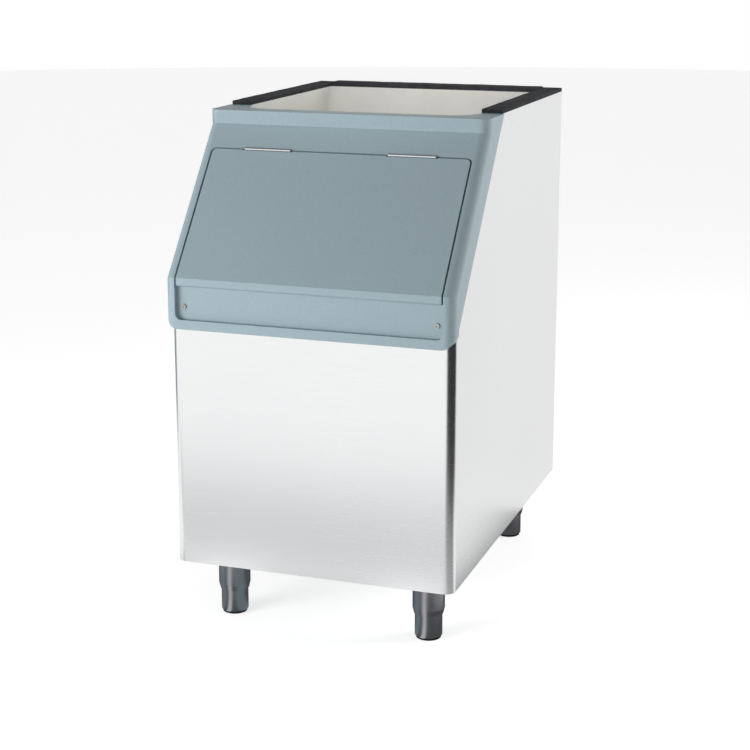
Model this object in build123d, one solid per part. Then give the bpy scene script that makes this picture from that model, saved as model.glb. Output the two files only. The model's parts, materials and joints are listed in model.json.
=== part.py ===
from build123d import *
from math import cos, pi, radians, sin, tan
import os

# Ice storage bin: an insulated steel cabinet on four adjustable legs, open at the top for an ice
# maker to stand on, with a moulded sloping front that carries a hinged door.
# Millimetres. X to the right, Y to the rear, Z up. The origin is on the floor below the middle.

# Cabinet
body_width = 560
overall_depth = 820
leg_height = 132
body_height = 858
sheet = 1.0
front_corner_radius = 20
seam_depth = 22
fold_width = 15
rear_inset = 3
wall_thickness = 45
base_sheet = 1.5
base_rim = 25

# Moulded front
front_proud = 17
front_overhang = 3
front_wall = 3
knee_height = 566
front_drop = 98
band_height = 26
slope_angle = 39.2
panel_lap = 62
side_return = 66
bezel_radius = 20
low_corner_radius = 26
rim_depth = 45
rim_corner = 60

# Recess and doorway in the moulded front
recess_margin = 21
recess_rise = 18
recess_below_band = 54.3
recess_depth = 10.5
recess_corner = 12
door_rest = 30
door_rest_top = 21
doorway_low = 18
doorway_corner = 14

# Door
door_gap = 3.5
door_skin = 3
door_edge_depth = 8
door_inner_skin = 2.5
door_plug_depth = 28
door_plug_gap = 3
door_lip = 16.6
bumper_radius = 5
bumper_gap = 0.3

# Hinges
hinge_length = 94
hinge_from_side = 117
knuckle_radius = 2.8
pin_radius = 1.25
pin_clearance = 0.05
knuckle_count = 5
knuckle_gap = 0.4
knuckle_rise = 0.8
knuckle_room = 0.6
leaf_thickness = 1.0
leaf_start = 2.6
leaf_end = 8.4
hinge_screw_radius = 1.4
hinge_screw_pitch = 30

# Liner
liner_wall = 3
floor_rise = 12
liner_corner = 25
liner_floor_radius = 18
well_radius = 38
well_depth = 10
drain_from_rear = 105

# Seal
seal_width = 42
seal_thickness = 8
rear_seal_extra = 2
seal_edge = 1.2

# Legs
leg_from_side = 77
front_leg_from_front = 119
rear_leg_from_rear = 94
sleeve_radius = 31.4
sleeve_wall = 2
sleeve_lip = 1.5
sleeve_length = 82
taper_length = 12
foot_radius = 26.8
foot_clearance = 0.4
foot_wall = 2
foot_engagement = 32
foot_nut = 8
pad_thickness = 5
pad_chamfer = 1.25
pad_inset = 0.5
stud_radius = 8
stud_clearance = 0.05
stud_length = 112
leg_plate_size = 84
leg_plate_thickness = 4
leg_screw_pitch = 64
leg_screw_radius = 3
leg_screw_head = 5.4
leg_plate_corner = 4

# Drain
drain_bore = 12
drain_tail = 16
drain_tail_length = 34
drain_flange_radius = 30
drain_flange = 3
drain_nut_size = 48
drain_nut_thickness = 10
washer_radius = 27
washer_thickness = 3
elbow_drop = 27
elbow_radius = 18
elbow_socket = 14
spigot_length = 50
outlet_from_rear = 12
strainer_thickness = 2
strainer_hole = 2.4
strainer_pitch = 8.5
strainer_rings = 2

# Screws
front_screw_from_side = 35
front_screw_rise = 24
front_screw_head = 5.3
front_screw_head_height = 2.6
front_screw_shank = 2.1
rear_screw_head = 4.5
rear_screw_head_height = 2
rear_screw_shank = 1.8
rear_screw_length = 6
rear_screw_rows = 4
rear_screw_edge = 8
slot_share = 0.16

# Places worked out from the sizes above
half_body = body_width / 2
half_front = half_body + front_overhang
front_y = -overall_depth / 2
steel_y = front_y + front_proud
rear_y = overall_depth / 2
base_z = leg_height
top_z = base_z + body_height
knee_z = base_z + knee_height
slope = radians(slope_angle)
band_z = top_z - band_height
band_y = front_y + (band_z - knee_z) * tan(slope)
front_low = knee_height - front_drop
front_panel_height = front_low + panel_lap
recess_half = half_front - recess_margin
recess_low = front_low + recess_rise
recess_top = (band_z - knee_z) / cos(slope) - recess_below_band
doorway_half = recess_half - door_rest
doorway_top = recess_top - door_rest_top
hinge_middle = recess_half - hinge_from_side
front_screw_x = half_front - front_screw_from_side
front_screw_height = recess_low + front_screw_rise
leg_x = half_body - leg_from_side
half_liner = half_body - seal_width
liner_front_y = steel_y + wall_thickness
liner_rear_y = rear_y - wall_thickness
rim_y = band_y + rim_depth
rear_panel_y = rear_y - rear_inset
floor_z = base_z + wall_thickness
drain_y = rear_y - drain_from_rear
well_z = floor_z - well_depth
door_top = recess_top - door_gap
door_half = recess_half - door_gap
hinge_s = recess_top - door_gap / 2
beyond = 60


def slope_point(along, inset):
    """A point a given way up the slope from the knee and a given way in from its face."""
    y = front_y + along * sin(slope) + inset * cos(slope)
    z = knee_z + along * cos(slope) - inset * sin(slope)
    return (y, z)


def front_line(inset, low_z, high_z):
    """The front's side outline, moved in by inset: upright, slope, then upright again."""
    shift = inset * tan(slope / 2)
    return [
        (front_y + inset, low_z),
        (front_y + inset, knee_z - shift),
        (band_y + inset, band_z - shift),
        (band_y + inset, high_z),
    ]


def slope_plane_z(inset, y):
    """The height of the slope's plane, moved in by inset, at a given depth."""
    start_y, start_z = slope_point(0, inset)
    return start_z + (y - start_y) / tan(slope)


def slope_plane_y(inset, z):
    """The depth of the slope's plane, moved in by inset, at a given height."""
    start_y, start_z = slope_point(0, inset)
    return start_y + (z - start_z) * tan(slope)


def side_prism(points, half_width):
    """A side outline carried across the bin, as far to each side of the middle."""
    face = Plane.YZ * make_face(Polyline(*points, close=True))
    return extrude(face, amount=half_width, both=True)


def slope_box(half_width, low, high, outer, inner):
    """A box square to the slope, between two places along it and two depths."""
    corners = [(low, outer), (high, outer), (high, inner), (low, inner)]
    return side_prism([slope_point(*corner) for corner in corners], half_width)


def upright_block(half_width, y0, y1, z0, z1):
    return Pos(0, y0, z0) * Box(2 * half_width, y1 - y0, z1 - z0, align=(Align.CENTER, Align.MIN, Align.MIN))


def rod(radius, length, x, y, z):
    """An upright cylinder that stands on z."""
    return Pos(x, y, z) * Cylinder(radius, length, align=(Align.CENTER, Align.CENTER, Align.MIN))


def cross_rod(radius, length, x, y, z):
    """A cylinder along X, about its middle."""
    return Pos(x, y, z) * Rot(0, 90, 0) * Cylinder(radius, length)


def spun(points, x, y):
    """A side outline of radius and height, turned about an upright line."""
    face = Plane.XZ * make_face(Polyline(*points, close=True))
    return Pos(x, y, 0) * revolve(face, Axis.Z)


def steel_block(inset, low, high):
    """The cabinet's plan with its rounded front corners, moved in by inset."""
    block = upright_block(half_body - inset, steel_y + inset, rear_y, low, high)
    upright = block.edges().filter_by(Axis.Z).sort_by(Axis.Y)[:2]
    return fillet(upright, front_corner_radius - inset)


def front_panel():
    top = base_z + front_panel_height
    shell = steel_block(0, base_z, top) - steel_block(sheet, base_z + sheet, top)
    shell &= upright_block(half_body, steel_y, steel_y + seam_depth, base_z, top)
    for x in (-front_screw_x, front_screw_x):
        shell -= front_screw_hole(x)
    return shell


def side_panel(side):
    """A side sheet with its sloping front edge and its folds at the bottom and the rear."""
    seam_y = steel_y + seam_depth
    lap = side_return - fold_width
    rim_low = top_z - front_wall
    rim_end = slope_plane_y(side_return, top_z)
    points = [
        (seam_y, base_z),
        (seam_y, slope_plane_z(lap, seam_y)),
        (slope_plane_y(lap, rim_low), rim_low),
        (rim_end, rim_low),
        (rim_end, top_z),
        (rear_y, top_z),
        (rear_y, base_z),
    ]
    face = Plane.YZ * make_face(Polyline(*points, close=True))
    panel = Pos(half_body - sheet, 0, 0) * extrude(face, amount=sheet)
    fold_x = half_body - sheet - fold_width
    low_fold = Box(fold_width, rear_panel_y - seam_y, sheet, align=(Align.MIN, Align.MIN, Align.MIN))
    panel += Pos(fold_x, seam_y, base_z) * low_fold
    rear_fold = Box(fold_width, sheet, body_height, align=(Align.MIN, Align.MAX, Align.MIN))
    panel += Pos(fold_x, rear_panel_y, base_z) * rear_fold
    panel -= rear_screw_holes()
    return panel if side > 0 else mirror(panel, Plane.YZ)


def rear_panel():
    half = half_body - sheet
    panel = upright_block(half, rear_panel_y, rear_panel_y + sheet, base_z, top_z)
    return panel - rear_screw_holes()


def rear_screw_places():
    step = (body_height - 2 * fold_width) / (rear_screw_rows - 1)
    x = half_body - sheet - rear_screw_edge
    heights = [base_z + fold_width + step * row for row in range(rear_screw_rows)]
    return [(side * x, z) for side in (-1, 1) for z in heights]


def rear_screw_holes():
    holes = []
    for x, z in rear_screw_places():
        shank = Cylinder(rear_screw_shank, 4 * rear_screw_length)
        holes.append(Pos(x, rear_panel_y, z) * Rot(90, 0, 0) * shank)
    return Compound(holes)


def rear_screws():
    screws = []
    made = screw(rear_screw_head, rear_screw_head_height, rear_screw_shank, rear_screw_length)
    for x, z in rear_screw_places():
        screws.append(Pos(x, rear_panel_y + sheet, z) * Rot(-90, 0, 0) * made)
    return Compound(screws)


def screw(head, head_height, shank, length):
    """A pan-head screw with a cross recess: its head stands on z 0 and its shank hangs below."""
    body = Cylinder(head, head_height, align=(Align.CENTER, Align.CENTER, Align.MIN))
    body += Cylinder(shank, length, align=(Align.CENTER, Align.CENTER, Align.MAX))
    arm = 2 * slot_share * head
    bar = Box(head, arm, head_height, align=(Align.CENTER, Align.CENTER, Align.MIN))
    recess = Pos(0, 0, head_height / 2) * (bar + Rot(0, 0, 90) * bar)
    return body - recess


def base_pan():
    """The tray that closes the cabinet's bottom and carries the legs."""
    low = base_z + sheet
    half = half_body - sheet
    y0 = steel_y + sheet
    tray = steel_block(sheet, low, low + base_rim) & upright_block(half, y0, rear_panel_y - sheet, low, top_z)
    hollow = steel_block(sheet + base_sheet, low + base_sheet, top_z)
    hollow &= upright_block(half, y0, rear_panel_y - sheet - base_sheet, low, top_z)
    tray -= hollow
    for x, y in leg_places().values():
        tray -= rod(stud_radius, base_rim, x, y, base_z)
        for sx, sy in leg_screw_offsets():
            tray -= rod(leg_screw_radius, base_rim, x + sx, y + sy, base_z)
    tray -= rear_screw_holes()
    return tray - rod(drain_tail, base_rim, 0, drain_y, base_z)


def leg_places():
    front = front_y + front_leg_from_front
    rear = rear_y - rear_leg_from_rear
    return {
        "front_left": (-leg_x, front),
        "front_right": (leg_x, front),
        "rear_left": (-leg_x, rear),
        "rear_right": (leg_x, rear),
    }


def leg_screw_offsets():
    half = leg_screw_pitch / 2
    return [(-half, -half), (half, -half), (-half, half), (half, half)]


def tub(grow):
    """The space of the liner, or with grow the liner's outside, closed at the bottom."""
    plane = wall_thickness - grow
    low = floor_z - grow
    points = [
        (liner_front_y - grow, low + floor_rise),
        (liner_front_y - grow, slope_plane_z(plane, liner_front_y - grow)),
        (rim_y - grow, slope_plane_z(plane, rim_y - grow)),
        (rim_y - grow, top_z + beyond),
        (liner_rear_y + grow, top_z + beyond),
        (liner_rear_y + grow, low),
    ]
    half = half_liner + grow
    solid = side_prism(points, half)
    side_edges = solid.edges().filter_by(lambda e: abs(abs(e.center().X) - half) < 0.1)
    rear_edges = side_edges.filter_by(lambda e: e.center().Y > liner_rear_y - 1 and e.length > beyond)
    solid = fillet(rear_edges, liner_corner + grow)
    side_edges = solid.edges().filter_by(lambda e: abs(abs(e.center().X) - half) < 0.1)
    high_edges = side_edges.filter_by(lambda e: e.center().Z > floor_z + 2 * floor_rise)
    front_edges = high_edges.filter_by(lambda e: e.center().Y < rim_y + 1)
    solid = fillet(front_edges, rim_corner + grow)
    floor_edges = solid.edges().filter_by(lambda e: e.center().Z < low + floor_rise + 1)
    solid = fillet(floor_edges, liner_floor_radius + grow)
    well = rod(well_radius + grow, well_depth + liner_floor_radius, 0, drain_y, well_z - grow)
    return solid + well


def doorway(grow, outer, inner):
    """The passage through the front, square to the slope, with rounded corners."""
    box = slope_box(doorway_half + grow, doorway_low - grow, doorway_top + grow, outer, inner)
    inward = Axis((0, 0, 0), (0, cos(slope), -sin(slope)))
    return fillet(box.edges().filter_by(inward), doorway_corner + grow)


def liner():
    shell = tub(liner_wall) - tub(0) - upright_block(body_width, front_y, rear_y, top_z, top_z + 2 * beyond)
    flange_front = slope_plane_y(side_return, top_z)
    low = top_z - liner_wall
    flange = upright_block(half_body - sheet, flange_front, rear_panel_y - sheet, low, top_z) - tub(0)
    shell &= upright_block(body_width, front_y, rear_y, base_z, low)
    shell -= doorway(0, 0, 2 * side_return)
    shell -= rod(drain_tail, wall_thickness, 0, drain_y, base_z)
    return shell + flange


def pocket(grow):
    """The recess that the door and the lower wall lie in, made larger all round by grow."""
    inset = recess_depth + grow
    half = recess_half + grow
    low = base_z + recess_low - grow
    shift = inset * tan(slope / 2)
    top = recess_top + grow
    points = [
        (front_y - beyond, low),
        (front_y + inset, low),
        (front_y + inset, knee_z - shift),
        slope_point(top, inset),
        slope_point(top, -beyond),
    ]
    block = side_prism(points, half)
    inward = Axis((0, 0, 0), (0, cos(slope), -sin(slope)))
    corners = block.edges().filter_by(inward) + block.edges().filter_by(Axis.Y)
    return fillet(corners, recess_corner + grow)


def round_front_edges(block, inset):
    """Round the two long edges of the bezel, from the bottom over the slope to the top."""
    half = half_front - inset
    edges = block.edges().filter_by(lambda e: abs(abs(e.center().X) - half) < 0.1)
    ends = front_line(inset, base_z + front_low + inset, top_z - inset)
    wanted = []
    for start, end in zip(ends, ends[1:]):
        y, z = (start[0] + end[0]) / 2, (start[1] + end[1]) / 2
        wanted += [e for e in edges if abs(e.center().Y - y) + abs(e.center().Z - z) < 1]
    return fillet(wanted, bezel_radius - inset)


def low_corners(inset):
    """An outline with rounded lower corners, seen from the front, as deep as the front."""
    low = base_z + front_low + inset
    block = upright_block(half_front - inset, front_y - beyond, rear_y, low, top_z + beyond)
    return fillet(block.edges().filter_by(Axis.Y).group_by(Axis.Z)[0], low_corner_radius - inset)


def front_block():
    """The outside of the moulded front, with its rounded edges."""
    low = base_z + front_low
    rear_low_y = steel_y + front_proud - front_wall
    points = front_line(0, low, top_z) + [
        (slope_plane_y(side_return, top_z), top_z),
        (rear_low_y, slope_plane_z(side_return, rear_low_y)),
        (rear_low_y, low),
    ]
    return round_front_edges(side_prism(points, half_front), 0) & low_corners(0)


def moulded_front():
    """One moulding: bezel, recess, door passage, rim and the returns over the side panels."""
    low = base_z + front_low
    block = front_block()
    rear_y_far = rear_y + beyond
    inside = front_line(front_wall, low + front_wall, top_z - front_wall)
    inside += [(rear_y_far, top_z - front_wall), (rear_y_far, low + front_wall)]
    hollow = round_front_edges(side_prism(inside, half_front - front_wall), front_wall)
    shell = block - (hollow & low_corners(front_wall))
    shell += pocket(front_wall) & block
    shell -= pocket(0)
    passage = doorway(front_wall, recess_depth, 2 * side_return) - tub(liner_wall)
    shell += passage
    shell -= doorway(0, 0, 3 * side_return)
    shell -= tub(0)
    shell -= steel_block(0, base_z, base_z + front_panel_height)
    for x in (-front_screw_x, front_screw_x):
        shell -= front_screw_hole(x)
    for x in (-hinge_middle, hinge_middle):
        shell -= hinge_notch(x)
        shell -= hinge_screws_at(x, 1)
    return shell


def front_screw_hole(x):
    place = Pos(x, steel_y, base_z + front_screw_height) * Rot(90, 0, 0)
    return place * Cylinder(front_screw_shank, 4 * front_proud)


def front_screws():
    """The screws that hold the moulded front to the panel behind its lower wall."""
    screws = []
    seat = front_y + recess_depth
    length = steel_y + sheet - seat
    made = screw(front_screw_head, front_screw_head_height, front_screw_shank, length)
    for x in (-front_screw_x, front_screw_x):
        screws.append(Pos(x, seat, base_z + front_screw_height) * Rot(90, 0, 0) * made)
    return Compound(screws)


def hinge_place():
    return slope_point(hinge_s, -knuckle_rise)


def hinge_notch(x):
    y, z = hinge_place()
    return cross_rod(knuckle_radius + knuckle_room, hinge_length + 2 * door_gap, x, y, z)


def knuckle_spans(own):
    """Where one leaf's knuckles start and end along the hinge, from its middle."""
    pitch = hinge_length / knuckle_count
    spans = []
    for index in range(knuckle_count):
        if index % 2 == own:
            start = -hinge_length / 2 + pitch * index
            spans.append((start + knuckle_gap / 2, start + pitch - knuckle_gap / 2))
    return spans


def hinge_leaf(x, own):
    """A leaf with its knuckles: own 0 is screwed to the front, own 1 to the door."""
    away = 1 if own == 0 else -1
    seat = recess_top if own == 0 else door_top
    near, far = sorted((seat, seat - away * leaf_thickness))
    plate = slope_box(hinge_length / 2 - knuckle_gap, near, far, leaf_start, leaf_end)
    y, z = hinge_place()
    bore = pin_radius if own == 0 else pin_radius + pin_clearance
    for start, end in knuckle_spans(own):
        length = end - start
        middle = (start + end) / 2
        plate += Pos(middle, 0, 0) * slope_box(length / 2, near, far, 0, leaf_start)
        plate += cross_rod(knuckle_radius, length, middle, y, z)
    plate -= cross_rod(bore, 2 * hinge_length, 0, y, z)
    plate = Pos(x, 0, 0) * plate
    return plate - hinge_screws_at(x, away)


def hinge_screw_line(x, away, radius, length):
    """Straight shanks across the leaf: away 1 goes up the slope into the front."""
    start = recess_top - leaf_thickness if away > 0 else door_top + leaf_thickness
    y, z = slope_point(start, (leaf_start + leaf_end) / 2)
    turn = -slope_angle if away > 0 else 180 - slope_angle
    rods = []
    for step in (-1, 0, 1):
        shank = Cylinder(radius, length, align=(Align.CENTER, Align.CENTER, Align.MIN))
        rods.append(Pos(x + step * hinge_screw_pitch, y, z) * Rot(turn, 0, 0) * shank)
    return rods


def hinge_screws_at(x, away):
    return Compound(hinge_screw_line(x, away, hinge_screw_radius, 2 * front_wall))


def hinge_screws(away):
    """Countersunk hinge screws, flush with their leaf."""
    screws = []
    for x in (-hinge_middle, hinge_middle):
        screws += hinge_screw_line(x, away, hinge_screw_radius, front_wall + leaf_thickness)
    return Compound(screws)


def hinge_pin(x):
    y, z = hinge_place()
    return cross_rod(pin_radius, hinge_length, x, y, z)


def door_slab(edge, outer, inner):
    """The door's plate between two depths, smaller all round by edge."""
    low = knee_z - door_lip + edge
    outer_shift = outer * tan(slope / 2)
    inner_shift = inner * tan(slope / 2)
    points = [
        (front_y + outer, low),
        (front_y + outer, knee_z - outer_shift),
        slope_point(door_top - edge, outer),
        slope_point(door_top - edge, inner),
        (front_y + inner, knee_z - inner_shift),
        (front_y + inner, low),
    ]
    slab = side_prism(points, door_half - edge)
    inward = Axis((0, 0, 0), (0, cos(slope), -sin(slope)))
    corners = slab.edges().filter_by(inward).sort_by(Axis.Z)[-2:]
    return fillet(corners, recess_corner - door_gap)


def door_plug(edge, outer, inner):
    half = doorway_half - door_plug_gap - edge
    low = doorway_low + door_plug_gap + edge
    high = doorway_top - door_plug_gap - edge
    box = slope_box(half, low, high, outer, inner)
    inward = Axis((0, 0, 0), (0, cos(slope), -sin(slope)))
    return fillet(box.edges().filter_by(inward), doorway_corner - door_plug_gap - edge)


def door_outer():
    """The door's outer moulding, flush with the bezel, with the lip that a hand pulls."""
    skin = door_slab(0, 0, door_edge_depth) - door_slab(door_skin, door_skin, door_edge_depth)
    for x in (-hinge_middle, hinge_middle):
        skin -= hinge_notch(x)
        skin -= hinge_screws_at(x, -1)
    return skin


def door_inner():
    """The door's inner moulding: a plate inside the rim and a pan that plugs the passage."""
    plate_depth = door_edge_depth - door_inner_skin
    shell = door_slab(door_skin, plate_depth, door_edge_depth)
    shell += door_plug(0, door_edge_depth, door_plug_depth)
    shell -= door_plug(door_inner_skin, plate_depth, door_plug_depth - door_inner_skin)
    for x in (-hinge_middle, hinge_middle):
        shell -= hinge_screws_at(x, -1)
    return shell


def door_foam():
    plate_depth = door_edge_depth - door_inner_skin
    foam = door_slab(door_skin, door_skin, plate_depth)
    foam += door_plug(door_inner_skin, plate_depth, door_plug_depth - door_inner_skin)
    for x in (-hinge_middle, hinge_middle):
        foam -= hinge_screws_at(x, -1)
    return foam


def door_bumpers():
    """Round rubber rests on the recess floor that the closed door lies on."""
    height = recess_depth - door_edge_depth - bumper_gap
    x = (recess_half + doorway_half) / 2
    bumpers = []
    for along in (doorway_low + 2 * bumper_radius, doorway_top - 4 * bumper_radius):
        for side in (-1, 1):
            y, z = slope_point(along, recess_depth)
            rest = Cylinder(bumper_radius, height, align=(Align.CENTER, Align.CENTER, Align.MIN))
            bumpers.append(Pos(side * x, y, z) * Rot(90 - slope_angle, 0, 0) * rest)
    return Compound(bumpers)


def bezel_corner(side):
    """The space behind a rounded edge of the bezel that the foam leaves free, above the panel."""
    inset = front_proud + sheet + bezel_radius
    low = base_z + front_panel_height
    line = front_line(inset, low, top_z)
    points = [(front_y, low), line[1], line[2], (band_y + inset, top_z), (front_y, top_z)]
    return Pos(side * (half_body - bezel_radius + beyond), 0, 0) * side_prism(points, beyond)


def insulation():
    """Foam between the steel and the liner, as it is foamed in place."""
    inset = front_proud + sheet
    low = base_z + sheet + base_sheet
    high = top_z - front_wall
    points = front_line(inset, low, high) + [(rear_panel_y - sheet, high), (rear_panel_y - sheet, low)]
    foam = side_prism(points, half_body - sheet)
    corners = foam.edges().filter_by(Axis.Z).sort_by(Axis.Y)[:2]
    foam = fillet(corners, front_corner_radius - sheet)
    foam -= tub(liner_wall)
    foam -= doorway(front_wall, 0, 2 * side_return)
    foam -= rod(drain_tail, wall_thickness, 0, drain_y, base_z)
    foam -= base_pan()
    foam -= rear_screw_holes()
    for side in (-1, 1):
        foam -= bezel_corner(side)
    for x, y in leg_places().values():
        foam -= upright_leg_plate(x, y)
        foam -= rod(stud_radius, foot_nut, x, y, low)
        for sx, sy in leg_screw_offsets():
            foam -= leg_screw(x + sx, y + sy)
    return foam


def seal_strip(width, length, thickness, x, y):
    strip = Pos(x, y, top_z) * Box(width, length, thickness, align=(Align.CENTER, Align.MIN, Align.MIN))
    return fillet(strip.edges().group_by(Axis.Z)[-1], seal_edge)


def side_seal(side):
    start = slope_plane_y(side_return, top_z)
    return seal_strip(seal_width, rear_y - start, seal_thickness, side * (half_body - seal_width / 2), start)


def rear_seal():
    thickness = seal_thickness + rear_seal_extra
    return seal_strip(2 * half_liner, wall_thickness, thickness, 0, rear_y - wall_thickness)


def upright_leg_plate(x, y):
    size = leg_plate_size
    low = base_z + sheet + base_sheet
    plate = Box(size, size, leg_plate_thickness, align=(Align.CENTER, Align.CENTER, Align.MIN))
    return Pos(x, y, low) * plate


def leg_plate(x, y):
    plate = upright_leg_plate(x, y)
    plate = fillet(plate.edges().filter_by(Axis.Z), leg_plate_corner)
    plate -= rod(stud_radius, base_rim, x, y, base_z)
    for sx, sy in leg_screw_offsets():
        plate -= rod(leg_screw_radius, base_rim, x + sx, y + sy, base_z)
    return plate


def leg_screw(x, y):
    """A hexagon-head screw from below, through the tray into the leg's plate."""
    head = extrude(RegularPolygon(leg_screw_head, 6), amount=leg_screw_radius)
    shank = sheet + base_sheet + leg_plate_thickness + leg_screw_radius
    low = base_z + sheet - leg_screw_radius
    return Pos(x, y, low) * head + rod(leg_screw_radius, shank, x, y, low)


def leg_screws():
    places = [(x + sx, y + sy) for x, y in leg_places().values() for sx, sy in leg_screw_offsets()]
    return Compound([leg_screw(x, y) for x, y in places])


def leg_sleeve(x, y):
    """The leg's upper tube, drawn in at its lower end round the foot."""
    top = base_z + sheet
    low = base_z - sleeve_length
    neck = foot_radius + foot_clearance
    bore = sleeve_radius - sleeve_wall
    points = [
        (stud_radius, top),
        (sleeve_radius, top),
        (sleeve_radius, low + taper_length),
        (neck + sleeve_lip, low),
        (neck, low),
        (neck, low + taper_length / 2),
        (bore, low + taper_length + sleeve_wall),
        (bore, top - sleeve_wall),
        (stud_radius, top - sleeve_wall),
    ]
    return spun(points, x, y)


def leg_stud(x, y):
    top = base_z + sheet + base_sheet + leg_plate_thickness
    return rod(stud_radius, stud_length, x, y, top - stud_length)


def leg_foot(x, y):
    """The foot: a closed tube that screws up and down on the stud inside the sleeve."""
    top = base_z - sleeve_length + foot_engagement
    bore = stud_radius + stud_clearance
    inner = foot_radius - foot_wall
    points = [
        (0, pad_thickness),
        (foot_radius - foot_wall, pad_thickness),
        (foot_radius, pad_thickness + foot_wall),
        (foot_radius, top),
        (bore, top),
        (bore, top - foot_nut),
        (inner, top - foot_nut),
        (inner, pad_thickness + 2 * foot_wall),
        (0, pad_thickness + 2 * foot_wall),
    ]
    return spun(points, x, y)


def foot_pad(x, y):
    pad = rod(foot_radius - foot_wall - pad_inset, pad_thickness, x, y, 0)
    return chamfer(pad.edges().sort_by(Axis.Z)[0], pad_chamfer)


def drain_fitting():
    """The flanged tube that leads the melt water out through the floor."""
    tail_low = base_z - drain_tail_length
    body = rod(drain_tail, well_z - tail_low, 0, drain_y, tail_low)
    body += rod(drain_flange_radius, drain_flange, 0, drain_y, well_z)
    return body - rod(drain_bore, 2 * wall_thickness + drain_tail_length, 0, drain_y, tail_low)


def drain_strainer():
    z = well_z + drain_flange
    plate = rod(drain_flange_radius, strainer_thickness, 0, drain_y, z)
    for ring in range(1, strainer_rings + 1):
        count = 6 * ring
        for step in range(count):
            turn = 2 * pi * step / count
            reach = strainer_pitch * ring
            x, y = reach * cos(turn), drain_y + reach * sin(turn)
            plate -= rod(strainer_hole, strainer_thickness, x, y, z)
    return plate - rod(strainer_hole, strainer_thickness, 0, drain_y, z)


def drain_washer():
    low = base_z + sheet - washer_thickness
    ring = rod(washer_radius, washer_thickness, 0, drain_y, low)
    return ring - rod(drain_tail, washer_thickness, 0, drain_y, low)


def drain_nut():
    low = base_z + sheet - washer_thickness - drain_nut_thickness
    nut = extrude(RegularPolygon(drain_nut_size / 2, 6, major_radius=False), amount=drain_nut_thickness)
    nut = Pos(0, drain_y, low) * nut
    return nut - rod(drain_tail, drain_nut_thickness, 0, drain_y, low)


def drain_elbow():
    """The elbow that takes the fitting's tail and turns it to a hose spigot at the rear."""
    seat_z = base_z - drain_tail_length
    low_z = seat_z - elbow_drop
    end_y = rear_y - outlet_from_rear
    body = elbow_tube(elbow_radius, seat_z + elbow_socket, low_z, end_y - spigot_length)
    spigot = Cylinder(drain_tail, spigot_length, align=(Align.CENTER, Align.CENTER, Align.MIN))
    body += Pos(0, end_y, low_z) * Rot(90, 0, 0) * spigot
    body -= elbow_tube(drain_bore, seat_z, low_z, end_y)
    return body - rod(drain_tail, elbow_socket, 0, drain_y, seat_z)


def elbow_tube(radius, start_z, low_z, end_y):
    """A solid pipe of two straight legs that meet on a mitre, each cut at 45 degrees."""
    reach = end_y - drain_y
    drop = start_z - low_z
    down = rod(radius, drop + radius, 0, drain_y, low_z - radius)
    along = Pos(0, drain_y + (reach - radius) / 2, low_z) * Rot(90, 0, 0) * Cylinder(radius, reach + radius)
    size = drop + reach
    lower = (drain_y - size, low_z - size)
    upper = (drain_y + size, low_z + size)
    above = side_prism([lower, upper, (drain_y - size, low_z + size)], 2 * radius)
    below = side_prism([lower, upper, (drain_y + size, low_z - size)], 2 * radius)
    return (down & above) + (along & below)


def pieces():
    made = {
        "front_panel": front_panel(),
        "side_panel_left": side_panel(-1),
        "side_panel_right": side_panel(1),
        "rear_panel": rear_panel(),
        "rear_panel_screws": rear_screws(),
        "base_pan": base_pan(),
        "insulation_foam": insulation(),
        "liner": liner(),
        "front_moulding": moulded_front(),
        "front_screws": front_screws(),
        "door_bumpers": door_bumpers(),
        "door_outer_shell": door_outer(),
        "door_inner_shell": door_inner(),
        "door_foam": door_foam(),
        "hinge_screws_front": hinge_screws(1),
        "hinge_screws_door": hinge_screws(-1),
        "seal_left": side_seal(-1),
        "seal_right": side_seal(1),
        "seal_rear": rear_seal(),
        "leg_screws": leg_screws(),
        "drain_fitting": drain_fitting(),
        "drain_strainer": drain_strainer(),
        "drain_washer": drain_washer(),
        "drain_nut": drain_nut(),
        "drain_elbow": drain_elbow(),
    }
    for name, x in (("left", -hinge_middle), ("right", hinge_middle)):
        made[f"hinge_front_leaf_{name}"] = hinge_leaf(x, 0)
        made[f"hinge_door_leaf_{name}"] = hinge_leaf(x, 1)
        made[f"hinge_pin_{name}"] = hinge_pin(x)
    for name, (x, y) in leg_places().items():
        made[f"leg_plate_{name}"] = leg_plate(x, y)
        made[f"leg_sleeve_{name}"] = leg_sleeve(x, y)
        made[f"leg_stud_{name}"] = leg_stud(x, y)
        made[f"leg_foot_{name}"] = leg_foot(x, y)
        made[f"foot_pad_{name}"] = foot_pad(x, y)
    return made


os.makedirs("parts", exist_ok=True)
for node, shape in pieces().items():
    export_step(shape, f"parts/{node}.step")
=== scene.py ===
import json
import math

import bmesh
import bpy
from mathutils import Matrix, Vector


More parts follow.
